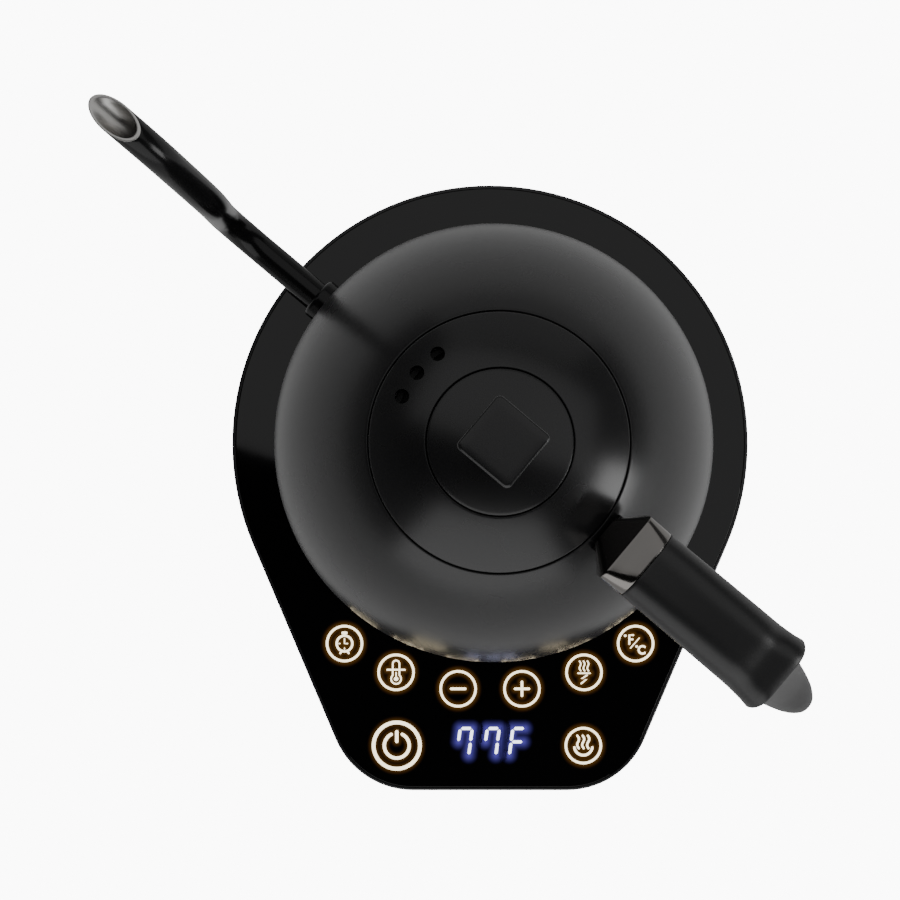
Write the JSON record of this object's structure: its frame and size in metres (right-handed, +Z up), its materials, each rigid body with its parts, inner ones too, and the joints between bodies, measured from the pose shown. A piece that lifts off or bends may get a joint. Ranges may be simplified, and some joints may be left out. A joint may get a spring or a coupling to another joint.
{
  "type": "electric gooseneck kettle",
  "caption": "Gooseneck electric kettle with lift-out lid and pistol grip, on a touch-control power base it lifts off and turns on.",
  "frame": {"origin": "on the kettle's upright axis, in the plane of the table, at the centre foot", "axes": "+Z up along the kettle's axis, -Y towards the control panel, +Y out of the cord inlet"},
  "size_m": [0.2081, 0.2086, 0.172],
  "materials": {
    "black_enamel": "satin black enamel on steel",
    "steel": "brushed and polished stainless steel",
    "screw_steel": "plain zinc-plated steel",
    "black_plastic": "fine matt moulded black",
    "black_glass": "glossy black touch glass",
    "brass": "bright contact brass",
    "aluminium": "cast aluminium",
    "silicone": "translucent silicone rubber",
    "black_rubber": "soft black rubber",
    "board": "green solder mask",
    "pale_plastic": "white moulded plastic",
    "component": "varnished electrical parts",
    "wire": "insulated wire"
  },
  "bodies": {
    "power_base": {"base_casing": "black_plastic", "touch_glass": "black_glass", "base_bottom_cover": "black_plastic", "base_feet": "black_rubber", "base_screws": "screw_steel", "cord_bush": "black_rubber", "connector_housing": "black_plastic", "connector_contacts": "brass", "connector_screws": "screw_steel", "power_board": "board", "board_screws": "screw_steel", "relay": "black_plastic", "transformer": "component", "capacitors": "aluminium", "triac_heatsink": "aluminium", "fuse": "pale_plastic", "varistor": "component", "buzzer": "black_plastic", "terminal_block": "pale_plastic", "mains_wires": "wire", "connector_wires": "wire", "control_board": "board", "icon_reflector": "pale_plastic", "touch_foams": "black_rubber", "icon_lamps": "pale_plastic", "display_module": "black_plastic", "board_ribbon": "pale_plastic"},
    "coupler": {"kettle_connector": "black_plastic", "connector_rings": "brass", "connector_pin": "brass"},
    "kettle": {"kettle_shell": "black_enamel", "mouth_collar": "steel", "bottom_housing": "black_plastic", "bottom_seal": "silicone", "heater_plate": "steel", "heat_spreader": "aluminium", "heating_element": "steel", "thermal_cutout": "steel", "temperature_probe": "steel", "probe_seal": "silicone", "bottom_screws": "screw_steel", "element_wires": "wire", "spout_tube": "black_enamel", "spout_collar": "black_enamel", "handle_bracket": "steel", "handle_ferrule": "steel", "handle_tang": "steel", "handle_arm": "black_plastic", "handle_grip": "black_plastic", "handle_screws": "screw_steel"},
    "lid_ring": {"lid_seal": "silicone"},
    "lid": {"lid_cover": "black_enamel", "lid_cup": "steel", "lid_disc": "black_plastic", "lid_knob": "black_plastic", "knob_washer": "screw_steel", "knob_screw": "screw_steel"}
  },
  "joints": [
    {"name": "kettle_lift", "type": "slide", "parent": "power_base", "child": "coupler", "axis": [0, 0, 1], "range_m": [0, 0.08]},
    {"name": "kettle_turn", "type": "hinge", "parent": "coupler", "child": "kettle", "pos_m": [0, 0, 0.03], "axis": [0, 0, 1], "continuous": true},
    {"name": "lid_lift", "type": "slide", "parent": "kettle", "child": "lid_ring", "axis": [0, 0, 1], "range_m": [0, 0.06]},
    {"name": "lid_turn", "type": "hinge", "parent": "lid_ring", "child": "lid", "pos_m": [0, 0, 0.13], "axis": [0, 0, 1], "continuous": true}
  ]
}
